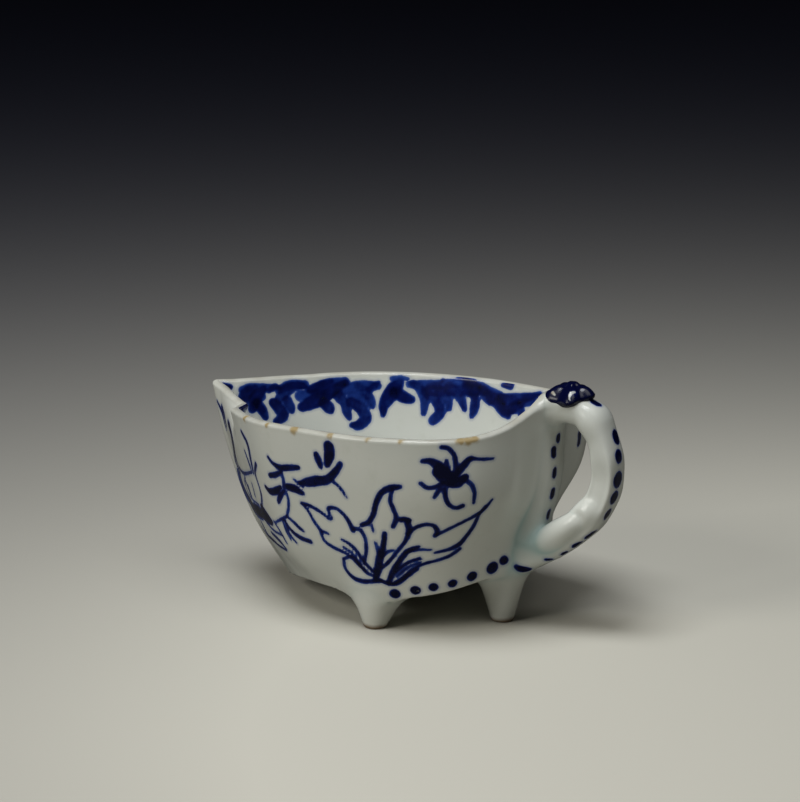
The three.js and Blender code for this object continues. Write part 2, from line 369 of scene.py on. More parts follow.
# %% Skin of the bowl
pinch_depth = 3.2
pinch_run = 0.26
pinch_direction = np.array([0.55, 0.83, -0.12])
pinch_station, fold_length = 3, 0.9
floor_centre = np.array([back_x - 35.8, 0, 3.5])
bowl_columns = 500
floor_rows, wall_rows, rim_rows, inner_floor_rows = 15, 101, 9, 9
girth = np.arange(bowl_columns) / bowl_columns


def level_inward():
    step = 1 / (len(stations) * 4)
    run = smooth_line(rim_ring, girth + step, True) - smooth_line(rim_ring, girth - step, True)
    inward = np.column_stack([-run[:, 1], run[:, 0], 0 * run[:, 0]])
    return inward / np.linalg.norm(inward, axis=1, keepdims=True)


def pinch_share():
    station = girth * len(stations)
    growing = (station / pinch_station) ** 1.3
    folding = np.clip(1 - (station - pinch_station) / fold_length, 0, 1)
    return np.where(station <= pinch_station, growing, folding)[:, None]


uprights = np.array([smooth_line(ring, girth, True) for ring in rings])
inward = level_inward()
pinch = pinch_share() * pinch_depth * pinch_direction


def side_row(up, depth=0.0, rise=0.0):
    """One row round the bowl: up is 0 at the foot line and 1 at the rim."""
    row = smooth_line(uprights, up)
    row = row + pinch * max(0, (up - 1 + pinch_run) / pinch_run) ** 2 + inward * depth
    row[:, 2] += rise * (1 - up)
    return row


def floor_row(share, depth=0.0, rise=0.0):
    centre = floor_centre + np.array([0, 0, rise])
    return between(side_row(0, depth, rise), centre, share)


def bowl_rows():
    rows = [floor_row(share) for share in np.linspace(1, 0, floor_rows)]
    rows += [side_row(up) for up in np.linspace(0, 1, wall_rows)[1:]]
    for angle in np.linspace(0, math.pi, rim_rows)[1:-1]:
        crown = side_row(1, wall / 2 * (1 - math.cos(angle)))
        crown[:, 2] += rim_crown * math.sin(angle)
        rows.append(crown)
    inside_ups = np.concatenate([np.linspace(1, 0.5, 52), np.linspace(0.5, 0, 16)[1:]])
    rows += [side_row(up, wall, floor_thickness) for up in inside_ups]
    inner_shares = np.linspace(0, 1, inner_floor_rows)[1:]
    rows += [floor_row(share, wall, floor_thickness) for share in inner_shares]
    return np.array(rows)


meshes["bowl"] = wrapped_piece("porcelain_bowl", bowl_rows())

# %% [markdown]
# ## The twig handle
# The handle is a roll of clay, squared a little with the fingers and bent into a loop. A
# shallow groove runs down each flank. We sweep a soft-cornered section along a line in the
# middle plane. The ends are rounded off inside the wall of the bowl, where nobody sees them.

# %% Sweeping a roll of clay
def swept_rows(line, half_width, half_depth, columns, row_count, squareness, shape=None):
    """Rows round a line of (x, z) in the middle plane. shape(share, angle) scales the section."""
    line = np.array([(x, 0, z) for x, z in line], float)
    angle = np.linspace(0, 2 * math.pi, columns, endpoint=False)
    rows = []
    for share in (1 - np.cos(np.linspace(0, math.pi, row_count))) / 2:
        centre = smooth_line(line, share)
        run = smooth_line(line, min(share + 0.01, 1)) - smooth_line(line, max(share - 0.01, 0))
        run = run / np.linalg.norm(run)
        outward = np.cross(run, [0, 1, 0])
        outward = outward / np.linalg.norm(outward)
        across = np.cross(outward, run)
        cosine, sine = np.cos(angle), np.sin(angle)
        wide = half_width * np.sign(cosine) * np.abs(cosine) ** squareness(share)
        deep = half_depth * np.sign(sine) * np.abs(sine) ** squareness(share)
        size = (shape(share, angle) if shape else 1) * end_round(share)
        rows.append(centre + (size * wide)[:, None] * across + (size * deep)[:, None] * outward)
    return np.array(rows)


def end_round(share, run=0.05):
    left = min(share, 1 - share)
    return math.sqrt(max(0, 1 - max(0, 1 - left / run) ** 2))


# %% The handle
handle_width, handle_depth = 7.6, 5.6
top_height, root_height, tail_height = 47.2, 46.5, 14.8
out_x = handle_reach - handle_depth / 2
handle_line = [
    (back_x - 1.2, root_height), (back_x + 1.2, top_height - 0.1),
    (back_x + 4.6, top_height), (out_x - 5.2, top_height - 0.5),
    (out_x - 3.3, top_height - 2.1), (out_x - 1.6, top_height - 4.8),
    (out_x - 0.4, top_height - 8.5), (out_x, top_height - 12.2),
    (out_x - 0.4, top_height - 15.7), (out_x - 1.6, tail_height + 13.5),
    (out_x - 3.6, tail_height + 10.4), (out_x - 6.1, tail_height + 7.6),
    (out_x - 9.2, tail_height + 5), (back_x + 0.1, tail_height + 2.9),
    (back_x - 3.5, tail_height + 1.2), (back_x - 7.6, tail_height),
]


def twig_shape(share, angle):
    flank = np.exp(-((np.abs(np.cos(angle)) - 1) ** 2) / 0.02) * np.abs(np.cos(angle))
    groove = 0.12 * smooth_step(0.30, 0.45, share) * (1 - smooth_step(0.66, 0.76, share))
    slack = 0.03 * math.sin(share * 21) + 0.02 * math.sin(share * 47 + 1)
    return 1 - groove * flank + slack


def twig_squareness(share):
    """The roll is still round at its root and shoulder, and squared from there down."""
    return between(0.88, 0.55, float(smooth_step(0.36, 0.50, share)))


handle_rows = swept_rows(
    handle_line, handle_width / 2, handle_depth / 2, 120, 240, twig_squareness, twig_shape)
meshes["handle"] = wrapped_piece("twig_handle", handle_rows)

# %% [markdown]
# ## The stalk on the back
# A second, flatter roll is laid down the back wall between the two ends of the handle, like
# the stalk of the leaf. It follows the wall, so we read its line off the bowl's own skin.

# %% The stalk
back_column = round(bowl_columns * (len(near_rim) - 1) / len(stations))
back_wall = np.array([side_row(up)[back_column] for up in np.linspace(0, 1, 80)])
stalk_half_width, stalk_half_depth = 4.0, 2.4
stalk_heights = np.linspace(43.8, 18.4, 6)
stand_off = np.linspace(-1.4, 2.0, 6)
stalk_line = [
    (np.interp(z, back_wall[:, 2], back_wall[:, 0]) + off, z)
    for z, off in zip(stalk_heights, stand_off)
]
stalk_rows = swept_rows(stalk_line, stalk_half_width, stalk_half_depth, 80, 90, lambda share: 0.85)
# The back of the strip lies in the wall and stops short of the inner skin.
bedding = 0.6 * wall
bedded = np.interp(stalk_rows[:, :, 2], back_wall[:, 2], back_wall[:, 0]) - bedding
stalk_rows[:, :, 0] = np.maximum(stalk_rows[:, :, 0], bedded)
meshes["back_stalk"] = wrapped_piece("back_stalk_strip", stalk_rows)

# %% [markdown]
# ## Knots and the cut side twig
# Knots are pads of clay pressed on with a thumb. Each starts as a ball, stretched and dented
# a little. The stub of a side twig is a short roll with a rounded end.

# %% Pads of clay
def pressed_pad(name, radius, stretch, centre, dent=None, turn=0.0):
    ball = bmesh.new()
    bmesh.ops.create_uvsphere(ball, u_segments=64, v_segments=40, radius=radius)
    bmesh.ops.scale(ball, verts=ball.verts, vec=stretch)
    bmesh.ops.rotate(ball, verts=ball.verts, matrix=Matrix.Rotation(turn, 3, "Y"), cent=(0, 0, 0))
    bmesh.ops.translate(ball, verts=ball.verts, vec=centre)
    if dent:
        middle, size, push = Vector(dent[0]), dent[1], Vector(dent[2])
        for vertex in ball.verts:
            nearness = max(0, 1 - (vertex.co - middle).length / size)
            vertex.co += push * nearness**2 * (3 - 2 * nearness)
    mesh = mesh_from(ball, name)
    print(name, len(mesh.vertices), "vertices")
    return mesh


meshes["shoulder_knot"] = pressed_pad(
    "shoulder_knot_pad", 3.2, (1.1, 1.1, 0.95), (out_x - 3.4, 0, top_height - 1.5), turn=0.7)
meshes["heel_knot"] = pressed_pad(
    "heel_knot_pad", 2.5, (1.3, 1, 1), (out_x - 3.3, -2.3, tail_height + 11.6),
    dent=((out_x - 4.6, -5.0, tail_height + 10.8), 2.4, (0, 1.0, 0)), turn=-0.75)
meshes["cut_twig_end"] = pressed_pad(
    "cut_twig_stub", 2.2, (2.6, 0.9, 1.0), (back_x + 4.0, -3.9, tail_height + 7.4), turn=-0.66)

# %% [markdown]
# ## The flower
# The thumb rest is a little five-petalled flower, pressed in a mould and stuck on the root
# of the handle. Its top is domed, with a groove between the petals and a button inside, and
# it bends down to both sides over the round of the handle.

# %% The flower
flower_x = back_x + 4.4
flower_radius, petal_swell, petal_count = 4.9, 0.5, 5
flower_low = top_height + handle_depth / 4
flower_top = top_height + handle_depth / 2 + 2.1
flower_rim = flower_top - 1.0
dome_height, groove_depth, button_height, moat_depth = 1.4, 0.4, 0.25, 0.30
droop_along, droop_across = 0.022, 0.075


def flower_rows():
    angle = np.linspace(0, 2 * math.pi, 120, endpoint=False)
    petal = np.cos(petal_count * angle)
    edge = flower_radius - petal_swell * (1 - petal)
    valley = groove_depth * (1 - petal) / 2

    def petal_row(out, height):
        return np.column_stack([edge * out * np.cos(angle), edge * out * np.sin(angle), height])

    rows = []
    for share in np.linspace(0, 1, 36):
        out = math.sin(share * math.pi / 2)
        dome = dome_height * (1 - out**4)
        groove = valley * smooth_step(0.2, 0.8, out)
        button = button_height * math.exp(-((out * flower_radius / 1.35) ** 4))
        moat = -moat_depth * math.exp(-(((out * flower_radius - 2.1) / 0.7) ** 2))
        rows.append(petal_row(out, flower_rim + dome + button + moat - groove))
    for share in np.linspace(0, 1, 14)[1:]:
        out = math.cos(share * math.pi / 2)
        height = between(flower_rim, flower_low, share**0.7) - valley * (1 - share)
        rows.append(petal_row(out, height))
    rows = np.array(rows)
    rows[:, :, 2] -= droop_along * rows[:, :, 0] ** 2 + droop_across * rows[:, :, 1] ** 2
    return rows + np.array([flower_x, 0, 0])


meshes["flower_thumb_rest"] = wrapped_piece("flower_thumb_rest_petals", flower_rows())

# %% [markdown]
# ## Peg feet
# The feet are cones of clay rolled between the palms and pressed on. We spin half an outline
# round the upright axis, as on a lathe, and lean the peg in under the bowl. Its top must not
# come out inside, so we look down into the bowl and keep the peg below what we see.

# %% Peg feet
foot_lean = 0.2
look_from = 35


def measuring_tree(mesh):
    faces = [tuple(face.vertices) for face in mesh.polygons]
    return BVHTree.FromPolygons(vertex_table(mesh).tolist(), faces)


bowl_skin = measuring_tree(meshes["bowl"])


def peg_foot(name, x, y, height):
    outline = [
        (0, 0), (1.6, 0), (2.1, 0.08), (2.45, 0.45), (2.75, height * 0.1), (3.2, height * 0.2),
        (3.7, height * 0.33), (4.2, height * 0.5), (4.6, height * 0.68), (4.7, height * 0.8),
        (3.6, height * 0.95), (0, height),
    ]
    line = [(wide, 0, z) for wide, z in outline]
    line = smooth_line(line, np.linspace(0, 1, 61))
    line[:, 2] = np.clip(line[:, 2], 0, height)
    peg = bmesh.new()
    points = [peg.verts.new((max(0, point[0]), 0, point[2])) for point in line]
    for first, second in zip(points, points[1:]):
        peg.edges.new((first, second))
    bmesh.ops.spin(
        peg, geom=peg.verts[:] + peg.edges[:], cent=(0, 0, 0), axis=(0, 0, 1),
        angle=2 * math.pi, steps=80, use_merge=True, use_duplicate=False)
    bmesh.ops.remove_doubles(peg, verts=peg.verts, dist=1e-4)
    bmesh.ops.recalc_face_normals(peg, faces=peg.faces)
    lean = -math.copysign(foot_lean, y) if y else 0.0
    for vertex in peg.verts:
        vertex.co.y += lean * vertex.co.z
    bmesh.ops.translate(peg, verts=peg.verts, vec=(x, y, 0))
    for vertex in peg.verts:
        eye = Vector((vertex.co.x, vertex.co.y, look_from))
        seen = bowl_skin.ray_cast(eye, Vector((0, 0, -1)))[0]
        vertex.co.z = min(vertex.co.z, seen.z - bedding)
    mesh = mesh_from(peg, name)
    print(name, len(mesh.vertices), "vertices")
    return mesh


meshes["foot_near"] = peg_foot("peg_foot_near", 1.9, -17.3, 12)
meshes["foot_far"] = peg_foot("peg_foot_far", 1.9, 17.3, 12)
meshes["foot_rear"] = peg_foot("peg_foot_rear", 22.4, 0, 16)

# %% [markdown]
# ## Slip in the corners
# The pieces were stuck on with slip, which is clay thinned to a cream, and the glaze filled
# what corners were left. So no two pieces meet at a crease. We measure, at each vertex near
# a joint, how far it is from every piece, blend those distances softly, and move the vertex
# to where the blend is zero. Both sides of a joint land on one skin. The normals come from
# the same blend, so the shine runs across the joint.

# %% Distances to the pieces
trees = {name: measuring_tree(mesh) for name, mesh in meshes.items()}
tables = {name: vertex_table(mesh) for name, mesh in meshes.items()}
boxes = {name: (table.min(0), table.max(0)) for name, table in tables.items()}
joint_reach = 8.0


def slip_radius(point):
    """Wide fillets at the feet and on the back wall, small ones round the flower."""
    low = float(smooth_step(19, 12, point[2]))
    wall_side = float(smooth_step(40, 35.5, point[0])) * (1 - low)
    flower = float(smooth_step(47.5, 49.5, point[2]))
    return 0.8 + 1.2 * low + 0.55 * wall_side - 0.5 * flower


def distance_and_way(tree, point):
    nearest, normal, _, gap = tree.find_nearest(point)
    way = Vector(point) - nearest
    outside = way.dot(normal) >= 0
    if gap > 1e-3:
        way = way / gap if outside else -way / gap
    else:
        way = normal
    return (gap if outside else -gap), np.array(way)


def soft_union(point, names, own, own_normal):
    """Blended distance to several pieces, and the outward direction of the blend."""
    radius = slip_radius(point)
    total, way = 0.0, np.zeros(3)
    for name in names:
        gap, direction = distance_and_way(trees[name], point)
        if name == own:
            trust = float(smooth_step(0.1, 0.5, abs(gap)))
            direction = direction * trust + own_normal * (1 - trust)
        share = math.exp(-max(-4.0, min(gap, joint_reach) / radius))
        if name != own:
            share -= math.exp(-joint_reach / radius)
        total += share
        way += share * direction
    length = np.linalg.norm(way)
    return -radius * math.log(total), way / max(length, 1e-9)


print(len(trees), "pieces to measure from")

# %% Moving the skins
def near_box(points, name):
    low, high = boxes[name]
    return np.all((points > low - joint_reach) & (points < high + joint_reach), axis=1)


def slipped(name, mesh, frozen=None):
    """Moves a piece's skin onto the shared one. Returns normals and how full each corner is."""
    points, normals = vertex_table(mesh), vertex_table(mesh, "normal")
    start = points.copy()
    fullness = np.zeros(len(points))
    others = {other: near_box(points, other) for other in trees if other != name}
    touched = np.any(list(others.values()), axis=0)
    if frozen is not None:
        touched &= ~frozen
    for index in np.flatnonzero(touched):
        close = [other for other in others if others[other][index]]
        gaps = [distance_and_way(trees[other], start[index])[0] for other in close]
        nearest = min(gaps)
        if nearest > joint_reach:
            continue
        buried = float(smooth_step(-1.2, -0.2, nearest))
        if buried <= 0:
            continue
        point, normal = start[index].copy(), normals[index]
        for _ in range(3):
            gap, way = soft_union(point, close + [name], name, normal)
            point = point - gap * way
        gap, way = soft_union(point, close + [name], name, normal)
        points[index] = start[index] + (point - start[index]) * buried
        points[index, 2] = max(points[index, 2], 0)
        fullness[index] = np.linalg.norm(point - start[index])
        blend = normal * (1 - buried) + way * buried
        normals[index] = blend / np.linalg.norm(blend)
    mesh.vertices.foreach_set("co", points.ravel())
    moved = int((fullness > 0.02).sum())
    print(name, "slip moved", moved, "vertices, most", round(float(fullness.max()), 2), "mm")
    return normals, fullness


# The inner skin of the bowl, which faces its middle, is left as it was pressed.
bowl_middle = np.array([floor_centre[0], 0, 26.0])
to_middle = bowl_middle - tables["bowl"]
skin_inside = np.einsum("ij,ij->i", vertex_table(meshes["bowl"], "normal"), to_middle) > 0
joints = {
    name: slipped(name, mesh, skin_inside if name == "bowl" else None)
    for name, mesh in meshes.items()
}

# %% [markdown]
# ## Painting with a brush
# A brush stroke is a line with a width that swells and thins. We write each stroke as a few
# points seen straight from the side, three numbers to a point: how far along the boat, how
# high, and half the width there. Each point is then dropped onto the surface, and every
# vertex learns its distance to the edge of the nearest stroke. The material turns that
# distance into paint, so the edge stays crisp between vertices. The first number of a
# stroke says how full the brush was.

# %% From the side onto the surface
def joined_tree():
    points, faces, start = [], [], 0
    for mesh in meshes.values():
        points += vertex_table(mesh).tolist()
        faces += [tuple(start + index for index in face.vertices) for face in mesh.polygons]
        start = len(points)
    return BVHTree.FromPolygons(points, faces)


whole_boat = joined_tree()
near, far = -1, 1
steps_between, brush_spread = 5, 0.18


def on_surface(x, z, side, inside):
    """Looks along the beam for the skin of the boat, and a little lower if it misses."""
    begin = Vector((x, 0 if inside else side * 60, z))
    way = Vector((0, side if inside else -side, 0))
    for drop in range(12):
        found = whole_boat.ray_cast(begin - Vector((0, 0, 0.4 * drop)), way)[0]
        if found is not None:
            return np.array(found)
    return np.array(begin)


def laid_stroke(stroke, side, inside):
    """Turns (load, x, z, half width, x, z, half width, ...) into (load, points, half widths)."""
    load, *marks = stroke
    marks = np.array(marks, float).reshape(-1, 3)
    if len(marks) > 1:
        marks = smooth_line(marks, np.linspace(0, 1, (len(marks) - 1) * steps_between + 1))
    points = np.array([on_surface(x, z, side, inside) for x, z, _ in marks])
    return load, points, marks[:, 2]


def paint_distance(points, strokes, reach=2.0):
    """Signed distance to the nearest stroke's edge (minus is inside), and the paint's depth."""
    edge = np.full(len(points), reach)
    load = np.zeros(len(points))
    for brush, line, widths in strokes:
        margin = reach + widths.max()
        low, high = line.min(0) - margin, line.max(0) + margin
        close = np.flatnonzero(np.all((points > low) & (points < high), axis=1))
        if not len(close):
            continue
        here = points[close]
        best = np.full(len(close), reach)
        starts, ends = (line[:-1], line[1:]) if len(line) > 1 else (line, line)
        first, last = (widths[:-1], widths[1:]) if len(line) > 1 else (widths, widths)
        for a, b, wide_a, wide_b in zip(starts, ends, first, last):
            run = b - a
            share = np.clip(((here - a) @ run) / max(run @ run, 1e-9), 0, 1)
            gap = np.linalg.norm(here - a - share[:, None] * run, axis=1)
            gap -= between(wide_a, wide_b, share) + brush_spread
            best = np.minimum(best, gap)
        depth = brush * smooth_step(0.25, -0.45, best)
        load[close] = 1 - (1 - load[close]) * (1 - 0.8 * depth)
        edge[close] = np.minimum(edge[close], best)
    return edge, load


print("bud on the near side:", on_surface(-1.8, 39, near, False).round(1))

# %% [markdown]
# The near side carries a bud on a leafy twig, a flower under the lip, a spray of three
# outlined leaves over the foot, an insect and a row of dots along the foot line.

# %% The near side
sprig = [
    (0.9, -5.2, 38.2, 0.66, -4.8, 37, 0.77, -4.4, 35.7, 0.45),
    (1, -1.8, 40.5, 1.21, -1.8, 39, 1.25, -2.7, 36.6, 0.76),
    (0.9, 0.7, 37.1, 0.52, -1.1, 34.8, 0.76, -3.3, 33, 0.91, -5.8, 32.4, 1.05, -8.7, 31.5, 0.88,
     -10.8, 31, 0.32),
    (0.7, -2.1, 33.2, 0.35, -0.6, 32.3, 0.28, 0.5, 31.1, 0.28, 1.2, 29.9, 0.21),
    (0.6, -12.3, 31.5, 0.18, -10.9, 30.8, 0.28, -9.8, 30.3, 0.18),
    (0.6, -16, 32.8, 0.39, -15.6, 30.6, 0.42, -15.7, 28.7, 0.39, -15, 26.9, 0.32,
     -15.3, 24.5, 0.32, -16.4, 22.2, 0.25),
    (0.9, -19.8, 34.8, 0.32, -18.5, 33.8, 0.39, -16.4, 33.3, 0.6, -13.2, 33.9, 0.63,
     -10.5, 34.5, 0.46),
    (0.85, -20.1, 30.6, 0.5, -17.9, 31.3, 0.6, -16, 32.4, 0.32),
    (1, -22.6, 27.3, 0.43, -21.2, 26.7, 0.68, -18.8, 27.4, 0.78, -16.8, 28.8, 0.39),
    (0.8, -18.5, 25, 0.46, -17.6, 26.4, 0.64, -16.1, 28, 0.39),
    (0.95, -14.6, 29.3, 0.74, -12.4, 29.4, 0.92, -10.2, 28.8, 0.49),
    (0.75, -16.4, 22.2, 0.28, -14.7, 21.5, 0.36, -13.1, 20.5, 0.39, -11.8, 19.9, 0.25),
    (0.9, -17.6, 21.1, 0.32, -15.9, 19.2, 0.43, -13.5, 18.1, 0.5, -10.2, 17.8, 0.46),
    (0.7, -17.4, 20.8, 0.29, -16.8, 18.1, 0.36, -15, 16.4, 0.25),
    (0.6, -16.4, 22.2, 0.25, -18.9, 20.8, 0.25, -21.3, 19.4, 0.18),
    (0.6, -18.2, 20.9, 0.21, -17.8, 18.6, 0.25, -16.8, 16.6, 0.21),
]
spout_flower = [
    (0.8, -47.1, 38.8, 0.19, -44.9, 36.7, 0.48, -43.7, 33.3, 0.22),
    (0.7, -39.7, 35.9, 0.44, -37.6, 33.4, 0.62, -39.3, 29.5, 0.55, -38.7, 26.4, 0.48,
     -34.1, 26.6, 0.33, -28.5, 28.8, 0.22),
    (0.75, -30.2, 37.6, 0.4, -28, 35.5, 0.54, -27.6, 32.1, 0.47, -27.6, 28.9, 0.29),
    (0.6, -30.1, 33.2, 0.25, -28.9, 30.8, 0.36, -28.4, 29, 0.22),
    (0.75, -25.2, 31.8, 0.43, -26.6, 29.2, 0.32, -26.1, 27, 0.25, -25.6, 24.7, 0.29,
     -26.6, 21.5, 0.29),
    (0.5, -33.8, 25.9, 0.22, -36, 22.5, 0.22, -32.8, 21.1, 0.22, -28.3, 21.1, 0.18),
    (0.5, -32.9, 24.1, 0.18, -32.2, 21.9, 0.18),
    (0.5, -29.9, 25.6, 0.18, -29.6, 22.7, 0.18),
    (0.35, -41.1, 24.1, 0.74, -40.5, 20.2, 1.04, -36.3, 17.8, 1.19, -29.1, 18.3, 1.09),
    (0.95, -26.8, 21, 0.91, -25, 19.8, 1.05, -23.2, 19, 0.61),
    (0.7, -30.1, 16.2, 0.37, -28.5, 13.5, 0.44, -24.8, 12.7, 0.4, -20.8, 12.7, 0.29),
    (0.6, -26.7, 17.7, 0.25, -23.6, 16.7, 0.29, -19.7, 16.8, 0.22),
    (0.6, -22.1, 19.4, 0.25, -20.2, 17.5, 0.29, -18.9, 15.2, 0.22),
]
spout_wash = [
    (0.75, -40.5, 35.9, 0.75, -38.4, 33.8, 0.96, -39.4, 30, 0.96, -41.1, 26.4, 0.86,
     -38.9, 24.9, 0.64),
    (0.6, -39.9, 24, 0.65, -39.6, 21.7, 0.86, -37.8, 20, 0.97, -33.9, 19.4, 0.96),
    (0.95, -35.5, 18.2, 0.86, -29.6, 19.2, 1.38, -26, 19.1, 1.37, -23.9, 18.6, 0.84),
    (0.7, -44.7, 38.1, 0.54, -43.5, 36.5, 0.75, -42.7, 34.4, 0.54),
    (0.5, -33.1, 13.6, 0.43, -28.7, 13.3, 0.53, -24.9, 12.9, 0.42),
    (0.6, -25.3, 15.4, 0.42, -22.1, 14.5, 0.63, -20.5, 13.3, 0.42),
    (0.5, -34.1, 24.5, 0.43, -33, 23.2, 0.53, -32.6, 21.9, 0.43),
]
leaf_spray = [
    (0.85, -11, 26.4, 0.39, -8.6, 26.3, 0.35, -6, 25.5, 0.32, -3.9, 24.3, 0.32),
    (0.85, -3.2, 24.6, 0.28, -3.8, 26.6, 0.35, -1.8, 27, 0.31, 0, 25.9, 0.35, 1.2, 24.1, 0.45,
     1.7, 22.7, 0.56),
    (0.75, 1.9, 23.1, 0.35, 3.4, 23, 0.38, 4.3, 21.1, 0.35, 4, 18.3, 0.32, 2.8, 15.1, 0.28),
    (0.75, -10.8, 26.4, 0.32, -9.3, 25, 0.32, -8.1, 22.9, 0.35, -6.6, 21.2, 0.35,
     -4.7, 20.8, 0.18),
    (0.75, -6.8, 21, 0.32, -6.3, 19.1, 0.32, -4.7, 18, 0.32, -2.3, 17.3, 0.35, -0.3, 16.5, 0.32,
     1.7, 14.5, 0.39, 2.8, 13.5, 0.32),
    (0.8, -2.1, 15.4, 0.28, -2.2, 13.2, 0.35, -1, 11.5, 0.42, 1.3, 10.9, 0.46, 3.9, 11.2, 0.39,
     5.9, 11.5, 0.35),
    (0.7, -1.8, 15.6, 0.25, 0.5, 16.4, 0.32, 1.7, 14.7, 0.32, 2.9, 13.1, 0.32, 4.8, 12.4, 0.32),
    (0.85, -1.4, 20, 0.21, 0.3, 19.3, 0.32, 1.7, 17.9, 0.39, 2.8, 15.7, 0.39, 4.6, 13.5, 0.32),
    (0.7, -1.4, 18.3, 0.18, 0.3, 17.4, 0.25, 1.8, 15.2, 0.21),
    (0.95, 4, 24.2, 0.42, 5.7, 25, 0.45, 7.2, 27.3, 0.49, 8.1, 29.7, 0.52, 9.7, 32.2, 0.55,
     11.7, 33.3, 0.62, 13.5, 33.7, 0.45),
    (0.7, 6.2, 24.7, 0.28, 6.5, 23, 0.17),
    (0.8, 11.8, 32.7, 0.34, 11.2, 30.4, 0.38, 11.6, 28.6, 0.41, 11.9, 26.7, 0.45,
     10.9, 24.6, 0.38),
    (0.95, 8.9, 22.9, 0.45, 8.1, 20, 0.52, 6.8, 17.1, 0.77, 5.7, 14.1, 0.77, 4.6, 11.6, 0.46),
    (0.7, 6.5, 20.6, 0.21, 6.7, 18.1, 0.31),
    (0.6, 10.1, 19.2, 0.17, 8.5, 18.5, 0.28, 7.3, 17.1, 0.17),
    (0.95, 12.7, 26.3, 0.48, 13.6, 26.5, 0.55, 14.4, 26.3, 0.45),
    (0.9, 14, 26, 0.59, 14, 24.1, 0.59, 12.9, 21.6, 0.35, 10.9, 19.1, 0.31, 8.7, 16.5, 0.31,
     6.8, 14.7, 0.28),
    (0.9, 7.3, 11, 0.39, 8.7, 13.6, 0.6, 10.8, 16.7, 0.52, 12.9, 19.2, 0.52, 15, 20.2, 0.35),
    (0.7, 9.3, 13.7, 0.25, 12, 16.2, 0.31, 14.7, 17.6, 0.21),
    (0.7, 9.4, 12.9, 0.25, 12.3, 15.4, 0.24, 14.6, 16.5, 0.21),
    (0.9, 5.4, 11.8, 0.35, 7.3, 11.1, 0.46, 9, 11.2, 0.42, 11.3, 13, 0.42, 13.7, 14.9, 0.35),
    (0.85, 13.5, 23.1, 0.38, 15.3, 24.7, 0.35, 17.4, 25.5, 0.35, 18.7, 25.2, 0.38, 19, 23.8, 0.49,
     18.4, 22.8, 0.35),
    (0.8, 18.6, 22.9, 0.28, 21.2, 24.5, 0.31, 23.6, 25.9, 0.31, 26, 27.5, 0.42, 27.4, 28.9, 0.38,
     28.5, 30.5, 0.17),
    (0.8, 27.4, 29.1, 0.31, 26.1, 27.3, 0.31, 24.6, 24.6, 0.38, 23, 22.3, 0.42, 21.3, 20.2, 0.52,
     19.5, 19.3, 0.35, 17.5, 18.8, 0.17),
    (0.85, 21.4, 19.3, 0.35, 19.7, 17.9, 0.35, 17.7, 17, 0.28, 15.2, 16.2, 0.28, 12.8, 14.8, 0.28,
     10.7, 12.8, 0.32, 8.1, 11, 0.28),
    (0.6, 12.2, 18.7, 0.21, 14.9, 19.5, 0.24, 17.1, 19.5, 0.17),
    (0.6, 10.5, 15, 0.21, 12.8, 16.6, 0.24, 14.9, 17.3, 0.17),
]
insect = [
    (0.9, 21.8, 42.4, 0.38, 22.8, 42.2, 0.38, 23.7, 40.9, 0.41, 24, 39, 0.48, 24.1, 37.2, 0.58),
    (0.95, 18.3, 39.4, 0.38, 19.5, 39.5, 0.58, 20.9, 38.6, 0.96, 21.8, 37.3, 1.2),
    (1, 21.3, 37.2, 1.44, 22.8, 35.7, 1.65, 24.1, 35, 1.13, 25.4, 36, 0.62),
    (0.8, 22.5, 39.6, 0.27, 22.7, 37.6, 0.48),
    (0.85, 24.2, 37, 0.69, 25.3, 38.6, 0.72, 26.3, 39.8, 0.48, 27.2, 39.6, 0.27, 28.4, 39.4, 0.24,
     29.3, 39.3, 0.14),
    (0.75, 25.5, 35.3, 0.41, 26.3, 34.1, 0.38, 26.5, 32.5, 0.34, 26.1, 30.3, 0.24),
    (0.85, 21.9, 33.6, 0.48, 21.9, 31.7, 0.41, 22.3, 30, 0.38, 23.2, 29.3, 0.38, 24.3, 29.7, 0.45),
    (0.85, 17.7, 34.7, 0.34, 18.6, 33.9, 0.38, 19.8, 33.8, 0.38, 21.4, 34.5, 0.51),
    (0.8, 21.1, 33.6, 0.41, 20.5, 32.7, 0.41, 19.9, 31.7, 0.28),
]
foot_dots = [(1, *dot) for dot in (
    (8.2, 8.7, 1.09), (12.3, 9.8, 0.93), (12.4, 9.8, 1.01), (15.8, 10.6, 0.93), (19, 11.3, 0.89),
    (21.9, 12.5, 1.06), (24.5, 13.7, 1.3), (26, 15, 0.94),
)]

# %% [markdown]
# Inside, a border of leaves and commas hangs below the rim on both walls. It starts at the
# lip and stops a little before the back.

